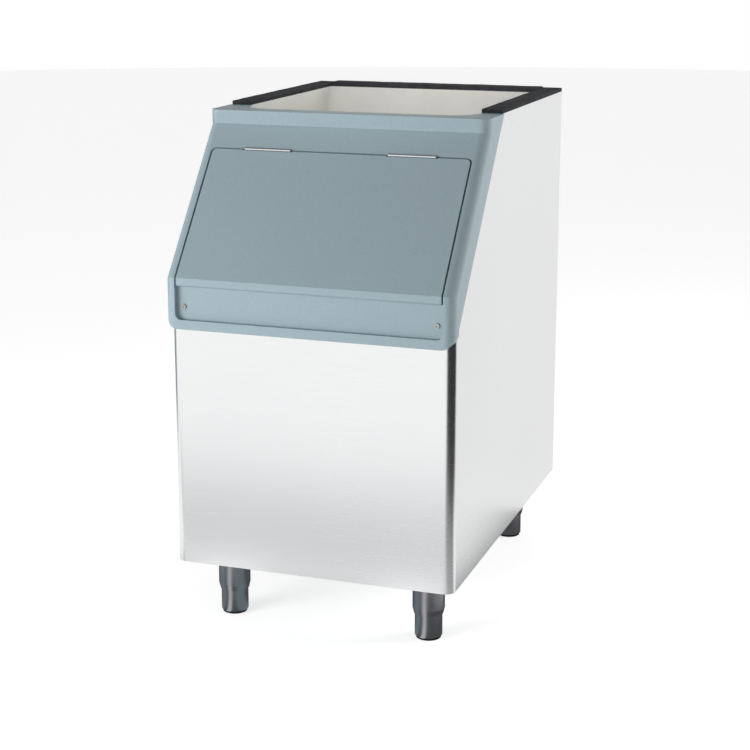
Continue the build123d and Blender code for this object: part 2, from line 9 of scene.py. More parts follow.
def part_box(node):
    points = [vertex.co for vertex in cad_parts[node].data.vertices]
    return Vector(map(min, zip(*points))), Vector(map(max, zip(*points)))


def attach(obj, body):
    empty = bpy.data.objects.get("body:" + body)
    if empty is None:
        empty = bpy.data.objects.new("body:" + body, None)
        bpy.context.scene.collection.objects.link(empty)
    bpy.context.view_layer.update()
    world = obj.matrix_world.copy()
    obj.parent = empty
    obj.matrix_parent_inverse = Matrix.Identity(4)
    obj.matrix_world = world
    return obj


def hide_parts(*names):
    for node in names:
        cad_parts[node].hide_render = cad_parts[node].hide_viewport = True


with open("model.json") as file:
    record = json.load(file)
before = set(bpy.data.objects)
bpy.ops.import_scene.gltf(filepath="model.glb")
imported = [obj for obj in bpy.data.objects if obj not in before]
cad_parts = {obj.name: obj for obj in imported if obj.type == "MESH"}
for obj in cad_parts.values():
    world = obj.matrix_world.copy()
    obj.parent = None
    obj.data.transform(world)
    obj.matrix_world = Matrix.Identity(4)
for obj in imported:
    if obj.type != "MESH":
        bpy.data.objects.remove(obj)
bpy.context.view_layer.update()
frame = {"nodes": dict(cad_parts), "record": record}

bl_info = {
    "name": "Ice Storage Bin",
    "version": (1, 0, 0),
    "blender": (4, 5, 0),
    "location": "View3D > Sidebar > Ice Bin",
    "description": "Dresses an insulated ice storage bin with a sloping front and a hinged door",
    "category": "Add Mesh",
}

BODY_OF = {node: body for body, nodes in frame["record"]["behaviour"]["bodies"].items() for node in nodes}
LEGS = ("front_left", "front_right", "rear_left", "rear_right")
SIDES = ("left", "right")
MILLIMETRE = 0.001
BLACK = (0, 0, 0, 1)
WHITE = (1, 1, 1, 1)

# Angles in degrees: an edge that turns by more is rounded, or is shaded sharp.
ROUNDED_ABOVE = 35
SHARP_ABOVE = 40
SHARP_ABOVE_ON_TUBES = 10
FLAT_BELOW = 0.4

# Brushed steel: scratches per metre along and across them, and how much its soft clouds change the shade.
SCRATCH_LENGTHS = 14
SCRATCH_WIDTHS = 900
CLOUD_STRENGTH = 0.05

# Share by which the grain varies a moulded plastic's roughness, and the shades of a foam's patches.
ROUGHNESS_SWAY = 0.12
FOAM_LIGHT = 2.1
FOAM_DARK = 0.6

# Cuts along a seal strip, and two waves in its top: their radians per metre and where they start.
SEAL_CUTS = 60
LONG_WAVE = 41
LONG_WAVE_SHIFT = 7
SHORT_WAVE = 97
SHORT_WAVE_START = 1.3


def colour_property(name, description, default):
    return bpy.props.FloatVectorProperty(
        name=name, description=description, default=default, size=4, min=0, max=1, subtype="COLOR"
    )


def length_property(name, description, millimetres):
    return bpy.props.FloatProperty(
        name=name, description=description, default=millimetres * MILLIMETRE, min=0, unit="LENGTH",
        subtype="DISTANCE",
    )


def power_property(name, description, watts):
    return bpy.props.FloatProperty(name=name, description=description, default=watts, min=0, unit="POWER")


def angle_property(name, description, degrees):
    return bpy.props.FloatProperty(
        name=name, description=description, default=math.radians(degrees), unit="ROTATION", subtype="ANGLE"
    )


class BinColours(bpy.types.PropertyGroup):
    """Colours of the bin's materials."""

    steel: colour_property("Steel", "Satin stainless steel of the panels", (0.86, 0.865, 0.87, 1))
    # The leg steel's own tone is darkened here to stand in for the dark surroundings the legs mirror: partly
    # a painted dark reflection.
    leg_steel: colour_property("Leg steel", "Polished tube of the legs", (0.34, 0.35, 0.365, 1))
    front: colour_property("Front", "Blue-grey plastic of front and door", (0.36, 0.46, 0.505, 1))
    front_shade: colour_property("Front shade", "Darker flecks in that plastic", (0.33, 0.425, 0.465, 1))
    liner: colour_property("Liner", "Cream plastic of the liner", (0.83, 0.825, 0.775, 1))
    seal: colour_property("Seal", "Charcoal cellular rubber of the seal", (0.033, 0.034, 0.037, 1))
    rubber: colour_property("Rubber", "Black rubber of the feet and washers", (0.018, 0.018, 0.019, 1))
    hinge: colour_property("Hinge steel", "Bright steel of the hinges and the screws", (0.86, 0.86, 0.86, 1))
    screw: colour_property("Screw steel", "Dull steel of the front's screws", (0.45, 0.46, 0.47, 1))
    zinc: colour_property("Zinc", "Zinc-plated steel of the tray and its screws", (0.55, 0.56, 0.57, 1))
    pipe: colour_property("Pipe", "Pale plastic of the drain", (0.62, 0.62, 0.60, 1))
    insulation: colour_property("Insulation", "Foam inside the walls", (0.78, 0.66, 0.38, 1))
    floor: colour_property("Floor", "Floor of the studio", (0.90, 0.90, 0.90, 1))


class BinEdges(bpy.types.PropertyGroup):
    """Edge radii that the mould or the press leaves."""

    moulding: length_property("Moulding edge", "Radius on the moulded front's edges", 1.0)
    door: length_property("Door edge", "Radius on the door's edges", 0.8)
    lip: length_property("Door lip", "Radius on the lower edge of the door's lip", 6.5)
    liner: length_property("Liner edge", "Radius on the liner's edges", 1.0)
    sheet: length_property("Sheet edge", "Radius on the steel sheets' edges", 0.3)
    seal: length_property("Seal edge", "Radius on the seal strips' edges", 0.9)
    hinge: length_property("Hinge edge", "Radius on the hinges' edges", 0.2)
    fitting: length_property("Fitting edge", "Radius on the drain's edges", 0.5)
    rounding_steps: bpy.props.IntProperty(
        name="Rounding steps", description="Faces across a rounded edge", default=3, min=1, max=6
    )
    lip_steps: bpy.props.IntProperty(
        name="Lip steps", description="Faces across the rounded edge of the door's lip", default=8,
        min=1, max=16,
    )
    seal_sink: length_property("Seal sink", "Mean depth of the waves in the seal strips' tops", 0.25)


class BinLegs(bpy.types.PropertyGroup):
    """Sizes of the legs' tubes and pads."""

    wall: length_property("Wall", "Steel thickness of the tubes", 2.0)
    taper: length_property("Taper", "Height over which the upper tube narrows to the foot", 12.0)
    mouth_wall: length_property("Mouth wall", "Steel left at the upper tube's mouth", 1.5)
    mouth_edge: length_property("Mouth edge", "Radius outside the upper tube's mouth", 0.48)
    foot_edge: length_property("Foot edge", "Radius on the foot's lower edge", 1.68)
    nut: length_property("Nut", "Height of the nut that runs on the stud", 8.0)
    foot_gap: length_property("Foot gap", "Gap between the upper tube and the foot in it", 0.4)
    stud_gap: length_property("Stud gap", "Gap between the nut and the stud", 0.05)
    pad_edge: length_property("Pad edge", "Radius on the rubber pad's lower edge", 1.2)
    round_faces: bpy.props.IntProperty(
        name="Round faces", description="Faces round a leg", default=96, min=24, max=256
    )


class BinStudio(bpy.types.PropertyGroup):
    """Lights and camera of the studio."""

    front_power: power_property("Front light", "Power of the light at the front left", 64)
    liner_power: power_property("Liner light", "Power of the narrow light over the opening", 0.95)
    side_power: power_property("Side light", "Power of the light at the right, behind the bin", 44)
    floor_glow: bpy.props.FloatProperty(
        name="Floor glow", description="Light that the floor shows to the eye of itself", default=0.64, min=0
    )
    lens: bpy.props.FloatProperty(
        name="Lens", description="Focal length of the camera", default=81.3, min=1, unit="CAMERA"
    )
    lens_shift: bpy.props.FloatProperty(
        name="Lens shift", description="Shift of the lens upwards, as a share of the picture", default=-0.08
    )
    camera_place: bpy.props.FloatVectorProperty(
        name="Camera place", description="Where the camera stands", default=(1.106, -3.213, 1.324), size=3,
        unit="LENGTH", subtype="TRANSLATION",
    )
    camera_dip: angle_property("Camera dip", "How far the camera looks down", 12.69)
    camera_heading: angle_property("Camera heading", "How far the camera is turned to the left", 19.11)


def add_object(name, data):
    """A new object in the scene."""
    added = bpy.data.objects.new(name, data)
    bpy.context.scene.collection.objects.link(added)
    return added


def mesh_from(name, bm):
    """A new mesh from a bmesh, which is freed."""
    mesh = bpy.data.meshes.new(name)
    bm.to_mesh(mesh)
    bm.free()
    return mesh


def link_nodes(tree, *pairs):
    for output, target in pairs:
        tree.links.new(output, target)


def effect_group(name, inputs, outputs):
    """A new node group with named sockets, and its input and output nodes."""
    group = bpy.data.node_groups.new(name, "ShaderNodeTree")
    for label, kind, value in inputs:
        socket = group.interface.new_socket(name=label, in_out="INPUT", socket_type=kind)
        if value is not None:
            socket.default_value = value
    for label, kind in outputs:
        group.interface.new_socket(name=label, in_out="OUTPUT", socket_type=kind)
    return group, group.nodes.new("NodeGroupInput"), group.nodes.new("NodeGroupOutput")


def math_node(tree, operation, first, second):
    node = tree.nodes.new("ShaderNodeMath")
    node.operation = operation
    for index, value in enumerate((first, second)):
        if isinstance(value, (int, float)):
            node.inputs[index].default_value = value
        else:
            tree.links.new(value, node.inputs[index])
    return node.outputs[0]


def brushed_group():
    """Fine straight scratches: a colour factor and a height that change across the grain."""
    name = "Brushed grain"
    if name in bpy.data.node_groups:
        return bpy.data.node_groups[name]
    inputs = [("Vector", "NodeSocketVector", None), ("Strength", "NodeSocketFloat", 0.1)]
    outputs = [("Shade", "NodeSocketFloat"), ("Height", "NodeSocketFloat")]
    group, start, end = effect_group(name, inputs, outputs)
    stretch = group.nodes.new("ShaderNodeMapping")
    stretch.inputs["Scale"].default_value = (SCRATCH_LENGTHS, SCRATCH_LENGTHS, SCRATCH_WIDTHS)
    grain = group.nodes.new("ShaderNodeTexNoise")
    grain.inputs["Scale"].default_value = 1
    grain.inputs["Detail"].default_value = 4
    cloud = group.nodes.new("ShaderNodeTexNoise")
    cloud.inputs["Scale"].default_value = 2.2
    cloud.inputs["Detail"].default_value = 2
    centred = math_node(group, "SUBTRACT", grain.outputs["Fac"], 0.5)
    scaled = math_node(group, "MULTIPLY", centred, start.outputs["Strength"])
    clouds = math_node(group, "SUBTRACT", cloud.outputs["Fac"], 0.5)
    soft = math_node(group, "MULTIPLY", clouds, CLOUD_STRENGTH)
    shade = math_node(group, "ADD", math_node(group, "ADD", scaled, soft), 1)
    link_nodes(
        group,
        (start.outputs["Vector"], stretch.inputs["Vector"]),
        (stretch.outputs[0], grain.inputs["Vector"]),
        (start.outputs["Vector"], cloud.inputs["Vector"]),
        (shade, end.inputs["Shade"]),
        (grain.outputs["Fac"], end.inputs["Height"]),
    )
    return group


def grain_group():
    """The fine leather grain of a moulded plastic: flecks and the height of its pores."""
    name = "Moulded grain"
    if name in bpy.data.node_groups:
        return bpy.data.node_groups[name]
    inputs = [
        ("Vector", "NodeSocketVector", None),
        ("Grain size", "NodeSocketFloat", 900.0),
        ("Fleck size", "NodeSocketFloat", 60.0),
    ]
    outputs = [("Fleck", "NodeSocketFloat"), ("Height", "NodeSocketFloat")]
    group, start, end = effect_group(name, inputs, outputs)
    pores = group.nodes.new("ShaderNodeTexNoise")
    pores.inputs["Detail"].default_value = 3
    flecks = group.nodes.new("ShaderNodeTexNoise")
    flecks.inputs["Detail"].default_value = 6
    flecks.inputs["Roughness"].default_value = 0.7
    spread = group.nodes.new("ShaderNodeMapRange")
    spread.inputs["From Min"].default_value = 0.35
    spread.inputs["From Max"].default_value = 0.65
    link_nodes(
        group,
        (start.outputs["Vector"], pores.inputs["Vector"]),
        (start.outputs["Grain size"], pores.inputs["Scale"]),
        (start.outputs["Vector"], flecks.inputs["Vector"]),
        (start.outputs["Fleck size"], flecks.inputs["Scale"]),
        (flecks.outputs["Fac"], spread.inputs["Value"]),
        (spread.outputs[0], end.inputs["Fleck"]),
        (pores.outputs["Fac"], end.inputs["Height"]),
    )
    return group


def cell_group():
    """The open cells of a foam: a shade and a height that is low in each cell."""
    name = "Foam cells"
    if name in bpy.data.node_groups:
        return bpy.data.node_groups[name]
    inputs = [("Vector", "NodeSocketVector", None), ("Cell size", "NodeSocketFloat", 500.0)]
    outputs = [("Shade", "NodeSocketFloat"), ("Height", "NodeSocketFloat")]
    group, start, end = effect_group(name, inputs, outputs)
    cells = group.nodes.new("ShaderNodeTexVoronoi")
    cells.feature = "F1"
    patches = group.nodes.new("ShaderNodeTexNoise")
    patches.inputs["Scale"].default_value = 35
    patches.inputs["Detail"].default_value = 5
    link_nodes(
        group,
        (start.outputs["Vector"], cells.inputs["Vector"]),
        (start.outputs["Cell size"], cells.inputs["Scale"]),
        (start.outputs["Vector"], patches.inputs["Vector"]),
        (patches.outputs["Fac"], end.inputs["Shade"]),
        (cells.outputs["Distance"], end.inputs["Height"]),
    )
    return group


def start_material(name, roughness, metallic=0.0):
    """A new material with its Principled shader, and the object coordinates beside it."""
    material = bpy.data.materials.new(name)
    material.use_nodes = True
    tree = material.node_tree
    shader = tree.nodes["Principled BSDF"]
    shader.inputs["Roughness"].default_value = roughness
    shader.inputs["Metallic"].default_value = metallic
    place = tree.nodes.new("ShaderNodeTexCoord").outputs["Object"]
    return material, tree, shader, place


def add_group(tree, group, vector, **values):
    node = tree.nodes.new("ShaderNodeGroup")
    node.node_tree = group
    tree.links.new(vector, node.inputs["Vector"])
    for label, value in values.items():
        node.inputs[label.replace("_", " ")].default_value = value
    return node


def add_bump(tree, shader, height, distance, strength):
    bump = tree.nodes.new("ShaderNodeBump")
    bump.inputs["Strength"].default_value = strength
    bump.inputs["Distance"].default_value = distance
    link_nodes(tree, (height, bump.inputs["Height"]), (bump.outputs[0], shader.inputs["Normal"]))


def mix_colours(tree, factor, first, second):
    mix = tree.nodes.new("ShaderNodeMix")
    mix.data_type = "RGBA"
    mix.inputs["A"].default_value = first
    mix.inputs["B"].default_value = second
    tree.links.new(factor, mix.inputs["Factor"])
    return mix.outputs["Result"]


def seen_by_eye(tree, path):
    """1 for camera rays and for those that pass through something clear, 0 for others."""
    return math_node(tree, "MAXIMUM", path.outputs["Is Camera Ray"], path.outputs["Is Transmission Ray"])


def steel_material(name, colour, roughness, strength, turn):
    """Brushed steel. Its scratches lie level, unless a turn points them another way."""
    material, tree, shader, place = start_material(name, roughness, 1.0)
    mapping = tree.nodes.new("ShaderNodeMapping")
    mapping.inputs["Rotation"].default_value = turn
    tree.links.new(place, mapping.inputs["Vector"])
    grain = add_group(tree, brushed_group(), mapping.outputs[0], Strength=strength)
    tint = tree.nodes.new("ShaderNodeMix")
    tint.data_type = "RGBA"
    tint.blend_type = "MULTIPLY"
    tint.inputs["Factor"].default_value = 1
    tint.inputs["A"].default_value = colour
    rough = math_node(tree, "MULTIPLY", grain.outputs["Shade"], roughness)
    link_nodes(
        tree,
        (grain.outputs["Shade"], tint.inputs["B"]),
        (tint.outputs["Result"], shader.inputs["Base Color"]),
        (rough, shader.inputs["Roughness"]),
    )
    add_bump(tree, shader, grain.outputs["Height"], distance=0.02 * MILLIMETRE, strength=0.25)
    return material


def shaded(colour, share):
    """The same colour, lighter or darker by a share."""
    return tuple(min(1, channel * share) for channel in colour[:3]) + (1,)


def plastic_material(name, colour, shade, roughness, grain_size, fleck_size, depth):
    """Moulded plastic with a fine grain and faint flecks."""
    material, tree, shader, place = start_material(name, roughness)
    grain = add_group(tree, grain_group(), place, Grain_size=grain_size, Fleck_size=fleck_size)
    flecked = mix_colours(tree, grain.outputs["Fleck"], colour, shade)
    uneven = math_node(tree, "MULTIPLY", grain.outputs["Height"], ROUGHNESS_SWAY)
    rough = math_node(tree, "ADD", uneven, roughness - ROUGHNESS_SWAY / 2)
    link_nodes(tree, (flecked, shader.inputs["Base Color"]), (rough, shader.inputs["Roughness"]))
    add_bump(tree, shader, grain.outputs["Height"], distance=depth, strength=0.6)
    return material


def foam_material(name, colour, cell_size, depth):
    """Cellular rubber or foam with pores and lighter scuffed patches."""
    material, tree, shader, place = start_material(name, 0.9)
    shader.inputs["Specular IOR Level"].default_value = 0.12
    cells = add_group(tree, cell_group(), place, Cell_size=cell_size)
    patched = mix_colours(tree, cells.outputs["Shade"], shaded(colour, FOAM_DARK), shaded(colour, FOAM_LIGHT))
    link_nodes(tree, (patched, shader.inputs["Base Color"]))
    add_bump(tree, shader, cells.outputs["Height"], distance=depth, strength=0.8)
    return material


def finish_for(name):
    """The material of a finish, built when it is first asked for."""
    if name in bpy.data.materials:
        return bpy.data.materials[name]
    colours = bpy.context.scene.bin_colours
    along = (0, 0, 0)
    upright = (0, math.radians(90), 0)

    def steel(colour, roughness, strength, turn=along):
        return lambda: steel_material(name, colour, roughness, strength, turn)

    def plastic(colour, shade, roughness, grain_size, fleck_size, depth):
        return lambda: plastic_material(
            name, colour, shade, roughness, grain_size, fleck_size, depth * MILLIMETRE
        )

    def foam(colour, cell_size, depth):
        return lambda: foam_material(name, colour, cell_size, depth * MILLIMETRE)

    liner_shade = shaded(colours.liner, 0.94)
    pipe_shade = shaded(colours.pipe, 0.9)
    makers = {
        "Satin steel": steel(colours.steel, roughness=0.27, strength=0.07),
        "Leg steel": steel(colours.leg_steel, roughness=0.33, strength=0.10),
        "Screw steel": steel(colours.screw, roughness=0.3, strength=0.05),
        "Hinge steel": steel(colours.hinge, roughness=0.2, strength=0.08, turn=upright),
        "Zinc plate": steel(colours.zinc, roughness=0.42, strength=0.05),
        "Front plastic": plastic(
            colours.front, colours.front_shade, roughness=0.42, grain_size=1500, fleck_size=220, depth=0.05
        ),
        "Liner plastic": plastic(
            colours.liner, liner_shade, roughness=0.36, grain_size=500, fleck_size=14, depth=0.05
        ),
        "Drain plastic": plastic(
            colours.pipe, pipe_shade, roughness=0.4, grain_size=800, fleck_size=40, depth=0.03
        ),
        "Seal foam": foam(colours.seal, cell_size=700, depth=0.4),
        "Black rubber": foam(colours.rubber, cell_size=1800, depth=0.05),
        "Wall foam": foam(colours.insulation, cell_size=260, depth=0.4),
    }
    return makers[name]()


def merged_copy(node):
    """The node's shape as a clean bmesh: corners merged and flat areas made single faces."""
    bm = bmesh.new()
    bm.from_mesh(frame["nodes"][node].data)
    bmesh.ops.remove_doubles(bm, verts=bm.verts, dist=0.005 * MILLIMETRE)
    bmesh.ops.dissolve_limit(
        bm, angle_limit=math.radians(FLAT_BELOW), use_dissolve_boundaries=False, verts=bm.verts,
        edges=bm.edges, delimit={"NORMAL"},
    )
    return bm


def round_sharp_edges(bm, width, steps):
    """Round the sharp edges of a shape."""
    limit = math.radians(ROUNDED_ABOVE)
    sharp = [e for e in bm.edges if len(e.link_faces) == 2 and e.calc_face_angle(0) > limit]
    if sharp:
        bmesh.ops.bevel(
            bm, geom=sharp, offset=width, offset_type="OFFSET", affect="EDGES", segments=steps, profile=0.5,
            material=-1, clamp_overlap=True, miter_outer="SHARP",
        )


def finish_piece(name, bm, material, node, smooth_angle=SHARP_ABOVE):
    """Put a shape into the scene in a node's place and on its body."""
    bmesh.ops.recalc_face_normals(bm, faces=bm.faces)
    mesh = mesh_from(name, bm)
    mesh.materials.append(material)
    piece = add_object(name, mesh)
    mesh.shade_smooth()
    mesh.set_sharp_from_angle(angle=math.radians(smooth_angle))
    weighted = piece.modifiers.new("Even shading", "WEIGHTED_NORMAL")
    weighted.keep_sharp = True
    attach(piece, BODY_OF[node])
    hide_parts(node)


def soften(node, finish, width, first=None):
    """Replace a node by its copy with rounded edges, after a first step on the copy."""
    edges = bpy.context.scene.bin_edges
    bm = merged_copy(node)
    if first:
        first(bm)
    round_sharp_edges(bm, width, edges.rounding_steps)
    finish_piece(node + "_finished", bm, finish_for(finish), node)


def paint(node, finish):
    """Give a finish to a node that keeps its own mesh."""
    node_object = frame["nodes"][node]
    node_object.data.materials.clear()
    node_object.data.materials.append(finish_for(finish))


def spun_piece(name, profile, centre, finish, node):
    """Turn a closed outline of (radius, height) about an upright line into a piece."""
    bm = bmesh.new()
    verts = [bm.verts.new((radius, 0, height)) for radius, height in profile]
    lines = [bm.edges.new((a, b)) for a, b in zip(verts, verts[1:] + verts[:1])]
    bmesh.ops.spin(
        bm, geom=verts + lines, cent=(0, 0, 0), axis=(0, 0, 1), angle=math.tau,
        steps=bpy.context.scene.bin_legs.round_faces, use_merge=True,
    )
    bmesh.ops.remove_doubles(bm, verts=bm.verts, dist=0.002 * MILLIMETRE)
    bmesh.ops.translate(bm, verts=bm.verts, vec=Vector((centre[0], centre[1], 0)))
    finish_piece(name, bm, finish_for(finish), node, SHARP_ABOVE_ON_TUBES)


def corner_arc(x, z, radius, start, end, steps=5):
    """Points of a rounded corner in an outline, angles in degrees from +X towards +Z."""
    points = []
    for step in range(steps + 1):
        angle = math.radians(start + (end - start) * step / steps)
        points.append((x + radius * math.cos(angle), z + radius * math.sin(angle)))
    return points


class BIN_OT_cabinet(bpy.types.Operator):
    """Finish the steel panels and the tray of the cabinet"""

    bl_idname = "bin.cabinet"
    bl_label = "Steel Cabinet"

    def execute(self, context):
        edges = bpy.context.scene.bin_edges
        soften("front_panel", "Satin steel", edges.sheet)
        for side in SIDES:
            soften(f"side_panel_{side}", "Satin steel", edges.sheet)
        soften("rear_panel", "Satin steel", edges.sheet)
        soften("rear_panel_screws", "Zinc plate", edges.hinge)
        paint("base_pan", "Zinc plate")
        paint("insulation_foam", "Wall foam")
        return {"FINISHED"}


class BIN_OT_front(bpy.types.Operator):
    """Finish the moulded sloping front and its screws"""

    bl_idname = "bin.front"
    bl_label = "Moulded Front"

    def execute(self, context):
        edges = bpy.context.scene.bin_edges
        soften("front_moulding", "Front plastic", edges.moulding)
        soften("front_screws", "Screw steel", edges.hinge)
        paint("door_bumpers", "Black rubber")
        return {"FINISHED"}


class BIN_OT_door(bpy.types.Operator):
    """Finish the door's two mouldings and its foam"""

    bl_idname = "bin.door"
    bl_label = "Door"

    def execute(self, context):
        edges = bpy.context.scene.bin_edges
        soften("door_outer_shell", "Front plastic", edges.door, self.round_lip)
        soften("door_inner_shell", "Liner plastic", edges.fitting)
        paint("door_foam", "Wall foam")
        return {"FINISHED"}

    def round_lip(self, bm):
        """Turn the lip's lower edge in, where a hand pulls the door."""
        edges = bpy.context.scene.bin_edges
        low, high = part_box("door_outer_shell")
        width = high[0] - low[0]
        nearness = 0.2 * MILLIMETRE
        wanted = []
        for edge in bm.edges:
            a, b = (vert.co for vert in edge.verts)
            away = sum(abs(end.z - low[2]) + abs(end.y - low[1]) for end in (a, b))
            if away < nearness and abs(a.x - b.x) > width / 2:
                wanted.append(edge)
        if not wanted:
            raise RuntimeError("The door's lip has no lower edge to round")
        bmesh.ops.bevel(
            bm, geom=wanted, offset=edges.lip, offset_type="OFFSET", affect="EDGES",
            segments=edges.lip_steps, profile=0.5, material=-1, clamp_overlap=True,
        )


class BIN_OT_hinges(bpy.types.Operator):
    """Finish the two steel hinges with their pins and screws"""

    bl_idname = "bin.hinges"
    bl_label = "Hinges"

    def execute(self, context):
        edges = bpy.context.scene.bin_edges
        for side in SIDES:
            soften(f"hinge_front_leaf_{side}", "Hinge steel", edges.hinge)
            soften(f"hinge_door_leaf_{side}", "Hinge steel", edges.hinge)
            paint(f"hinge_pin_{side}", "Hinge steel")
        paint("hinge_screws_front", "Zinc plate")
        paint("hinge_screws_door", "Zinc plate")
        return {"FINISHED"}


class BIN_OT_liner(bpy.types.Operator):
    """Finish the moulded liner"""

    bl_idname = "bin.liner"
    bl_label = "Liner"

    def execute(self, context):
        edges = bpy.context.scene.bin_edges
        soften("liner", "Liner plastic", edges.liner)
        return {"FINISHED"}


class BIN_OT_seal(bpy.types.Operator):
    """Model the foam seal strips round the top"""

    bl_idname = "bin.seal"
    bl_label = "Seal"

    def execute(self, context):
        for name in ("seal_left", "seal_right", "seal_rear"):
            self.strip(name)
        return {"FINISHED"}

    def strip(self, name):
        """A cut strip of foam with rounded edges and a faintly uneven top."""
        edges = bpy.context.scene.bin_edges
        low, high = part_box(name)
        size = Vector(high) - Vector(low)
        middle = (Vector(high) + Vector(low)) / 2
        bm = bmesh.new()
        bmesh.ops.create_cube(bm, size=1)
        bmesh.ops.scale(bm, vec=size, verts=bm.verts)
        bmesh.ops.translate(bm, vec=middle, verts=bm.verts)
        axis = 0 if size.x > size.y else 1
        half = size[axis] / 2
        long_edges = [e for e in bm.edges if abs((e.verts[0].co - e.verts[1].co)[axis]) > half]
        bmesh.ops.subdivide_edges(bm, edges=long_edges, cuts=SEAL_CUTS, use_grid_fill=True)
        round_sharp_edges(bm, edges.seal, edges.rounding_steps)
        for vert in bm.verts:
            share = (vert.co.z - low[2]) / size.z
            along = vert.co[axis]
            sway = math.sin(along * LONG_WAVE + middle.x * LONG_WAVE_SHIFT)
            sway += math.sin(along * SHORT_WAVE + SHORT_WAVE_START)
            vert.co.z -= edges.seal_sink * (1 + 0.5 * sway) * max(0, share)
        finish_piece(name + "_strip", bm, finish_for("Seal foam"), name)


class BIN_OT_legs(bpy.types.Operator):
    """Model the four legs: upper tube, adjustable foot and rubber pad"""

    bl_idname = "bin.legs"
    bl_label = "Legs"

    def execute(self, context):
        for leg in LEGS:
            self.sleeve(leg)
            self.foot(leg)
            self.pad(leg)
            paint(f"leg_stud_{leg}", "Zinc plate")
            paint(f"leg_plate_{leg}", "Zinc plate")
        paint("leg_screws", "Zinc plate")
        return {"FINISHED"}

    def place(self, node):
        """A round node's bottom, top, middle seen from above, and radius."""
        low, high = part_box(node)
        centre = ((low[0] + high[0]) / 2, (low[1] + high[1]) / 2)
        return low[2], high[2], centre, (high[0] - low[0]) / 2

    def sleeve(self, leg):
        """The upper tube, drawn in at its lower end round the foot."""
        sizes = bpy.context.scene.bin_legs
        bottom, top, centre, radius = self.place(f"leg_sleeve_{leg}")
        neck = self.place(f"leg_foot_{leg}")[3] + sizes.foot_gap
        bore = self.place(f"leg_stud_{leg}")[3]
        wall, taper, lip = sizes.wall, sizes.taper, sizes.mouth_edge
        mouth = neck + sizes.mouth_wall
        profile = [(bore, top), (radius, top), (radius, bottom + taper)]
        profile += corner_arc(mouth - lip, bottom + lip, lip, start=12, end=-90) + [(neck, bottom)]
        profile += [(neck, bottom + taper / 2), (radius - wall, bottom + taper + wall)]
        profile += [(radius - wall, top - wall), (bore, top - wall)]
        spun_piece(f"leg_tube_{leg}", profile, centre, "Leg steel", f"leg_sleeve_{leg}")

    def foot(self, leg):
        """The closed lower tube with the nut that runs on the stud."""
        sizes = bpy.context.scene.bin_legs
        bottom, top, centre, radius = self.place(f"leg_foot_{leg}")
        bore = self.place(f"leg_stud_{leg}")[3] + sizes.stud_gap
        wall, nut, curve = sizes.wall, sizes.nut, sizes.foot_edge
        profile = [(0, bottom)]
        profile += corner_arc(radius - curve, bottom + curve, curve, start=-90, end=0, steps=6)
        profile += [(radius, top), (bore, top), (bore, top - nut), (radius - wall, top - nut)]
        profile += [(radius - wall, bottom + wall), (0, bottom + wall)]
        spun_piece(f"leg_lower_tube_{leg}", profile, centre, "Leg steel", f"leg_foot_{leg}")

    def pad(self, leg):
        """The thin rubber pad under the foot."""
        bottom, top, centre, radius = self.place(f"foot_pad_{leg}")
        curve = bpy.context.scene.bin_legs.pad_edge
        profile = [(0, bottom)] + corner_arc(radius - curve, bottom + curve, curve, start=-90, end=0)
        profile += [(radius, top), (0, top)]
        spun_piece(f"leg_pad_{leg}", profile, centre, "Black rubber", f"foot_pad_{leg}")


class BIN_OT_drain(bpy.types.Operator):
    """Finish the drain in the liner's floor and the pipe under the cabinet"""

    bl_idname = "bin.drain"
    bl_label = "Drain"

    def execute(self, context):
        edges = bpy.context.scene.bin_edges
        for node in ("drain_fitting", "drain_strainer", "drain_nut", "drain_elbow"):
            soften(node, "Drain plastic", edges.fitting)
        soften("drain_washer", "Black rubber", edges.fitting)
        return {"FINISHED"}


